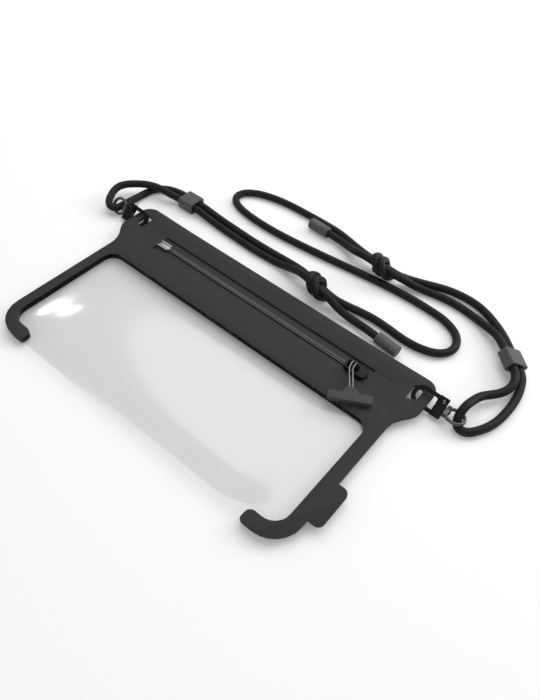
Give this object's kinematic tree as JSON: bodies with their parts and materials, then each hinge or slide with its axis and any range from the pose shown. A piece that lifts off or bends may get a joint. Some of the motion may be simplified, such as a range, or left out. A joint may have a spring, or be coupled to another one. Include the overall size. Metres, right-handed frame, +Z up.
{
  "type": "waterproof phone pouch",
  "caption": "Flat waterproof crossbody pouch with clear film windows, a zipped top band, swivel hooks and an adjustable braided shoulder cord.",
  "frame": {"origin": "on the floor under the middle of the pouch, which lies on its back film", "axes": "+X along the zip towards the slider's closed end, +Y from the welded bottom edge to the ears, +Z up through the front film"},
  "size_m": [0.3454, 0.2437, 0.0185],
  "materials": {
    "frame": "matte soft black moulding",
    "film": "clear flexible glossy film",
    "tape": "black coated tape",
    "teeth": "dark grey moulded teeth",
    "stop": "bright pressed metal",
    "slider": "black coated metal",
    "grip": "matte soft black grip",
    "hook": "black painted casting",
    "eye": "dark grey glossy metal",
    "cord": "black round braid",
    "lock": "matte dark grey moulding"
  },
  "bodies": {
    "pouch": {"front_frame": "frame", "back_frame": "frame", "front_window": "film", "back_window": "film", "zip_tape_far": "tape", "zip_tape_near": "tape", "zip_teeth_far": "teeth", "zip_teeth_near": "teeth", "zip_end_stop": "stop", "zip_patch_left": "frame", "zip_patch_right": "frame", "swivel_eye_left": "eye", "swivel_eye_right": "eye", "shoulder_cord": "cord", "knot_near": "cord", "knot_far": "cord", "cord_lock_left": "lock", "cord_lock_right": "lock", "cord_cap_near": "lock", "cord_cap_far": "lock"},
    "slider": {"zip_slider": "slider", "puller_pin": "slider"},
    "puller": {"puller_wire": "slider", "puller_grip": "grip"},
    "hook_left": {"hook_body_left": "hook", "gate_pin_left": "hook"},
    "gate_left": {"hook_gate_left": "hook"},
    "hook_right": {"hook_body_right": "hook", "gate_pin_right": "hook"},
    "gate_right": {"hook_gate_right": "hook"}
  },
  "joints": [
    {"name": "zip_slide", "type": "slide", "parent": "pouch", "child": "slider", "axis": [-1, 0, 0], "range_m": [0, 0.158]},
    {"name": "puller_hinge", "type": "hinge", "parent": "slider", "child": "puller", "pos_m": [0.08065, 0.0512, 0.01085], "axis": [-1, 0, 0], "range_deg": [0, 150]},
    {"name": "swivel_left", "type": "hinge", "parent": "pouch", "child": "hook_left", "pos_m": [-0.139, 0.0607, 0.00648], "axis": [1, 0, 0], "range_deg": [0, 90]},
    {"name": "swivel_right", "type": "hinge", "parent": "pouch", "child": "hook_right", "pos_m": [0.139, 0.0628, 0.00648], "axis": [1, 0, 0], "range_deg": [0, 90]},
    {"name": "gate_left_hinge", "type": "hinge", "parent": "hook_left", "child": "gate_left", "pos_m": [-0.1396, 0.06397, 0.00942], "axis": [0, 0.6691, -0.7431], "range_deg": [0, 5], "stiffness_Nm_per_rad": 0.05},
    {"name": "gate_right_hinge", "type": "hinge", "parent": "hook_right", "child": "gate_right", "pos_m": [0.1396, 0.06607, 0.00942], "axis": [0, -0.6691, 0.7431], "range_deg": [0, 5], "stiffness_Nm_per_rad": 0.05}
  ]
}
